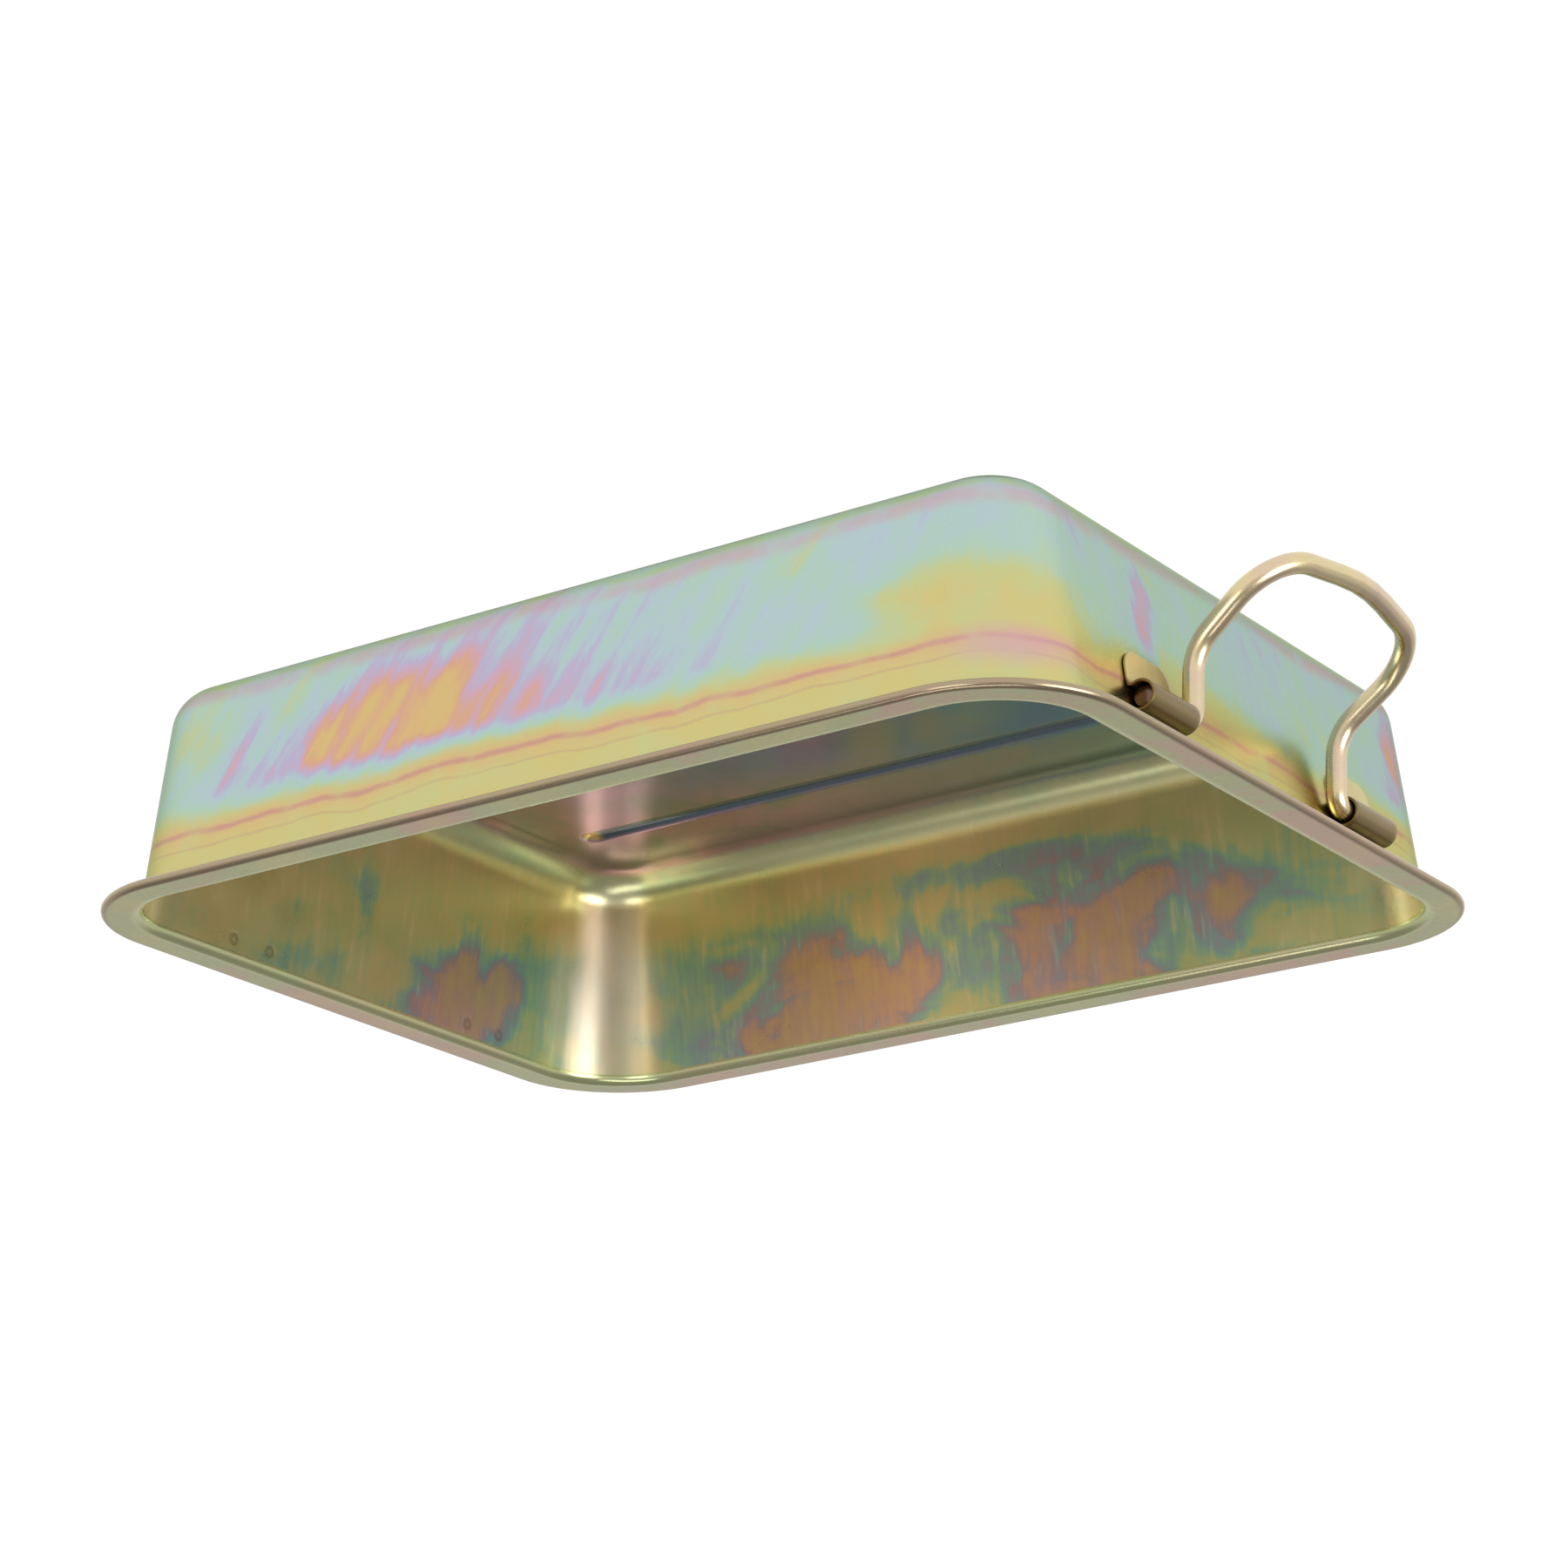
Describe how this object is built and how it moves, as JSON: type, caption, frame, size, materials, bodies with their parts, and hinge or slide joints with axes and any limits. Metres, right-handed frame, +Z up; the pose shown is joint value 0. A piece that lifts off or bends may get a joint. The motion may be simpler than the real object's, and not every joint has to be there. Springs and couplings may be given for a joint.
{
  "type": "paint roller tray",
  "caption": "Deep rectangular sheet-steel paint tray with a rolled rim and a swinging wire carrying handle clipped under the rim at each end.",
  "frame": {"origin": "centre of the footprint, at the height that the tray stands on", "axes": "+X along the tray's length, towards the rear handle; +Y across it; +Z up, out of the open top"},
  "size_m": [0.4154, 0.28, 0.076],
  "materials": {
    "tray_sheet": "glossy iridescent yellow zinc passivation, with soft bands of yellow, pink, lilac and blue-green",
    "handle_wire": "glossy champagne-coloured zinc passivation on drawn wire",
    "clip_strap": "satin olive-brown zinc passivation"
  },
  "bodies": {
    "tray": {"tray_pan": "tray_sheet", "front_handle_clip_left": "clip_strap", "front_handle_clip_right": "clip_strap", "rear_handle_clip_left": "clip_strap", "rear_handle_clip_right": "clip_strap"},
    "front_handle": {"front_handle": "handle_wire"},
    "rear_handle": {"rear_handle": "handle_wire"}
  },
  "joints": [
    {"name": "front_handle_swing", "type": "hinge", "parent": "tray", "child": "front_handle", "pos_m": [-0.17036, 0, 0.06153], "axis": [0, 1, 0], "range_deg": [-11, 122]},
    {"name": "rear_handle_swing", "type": "hinge", "parent": "tray", "child": "rear_handle", "pos_m": [0.17036, 0, 0.06153], "axis": [0, -1, 0], "range_deg": [-11, 122]}
  ]
}
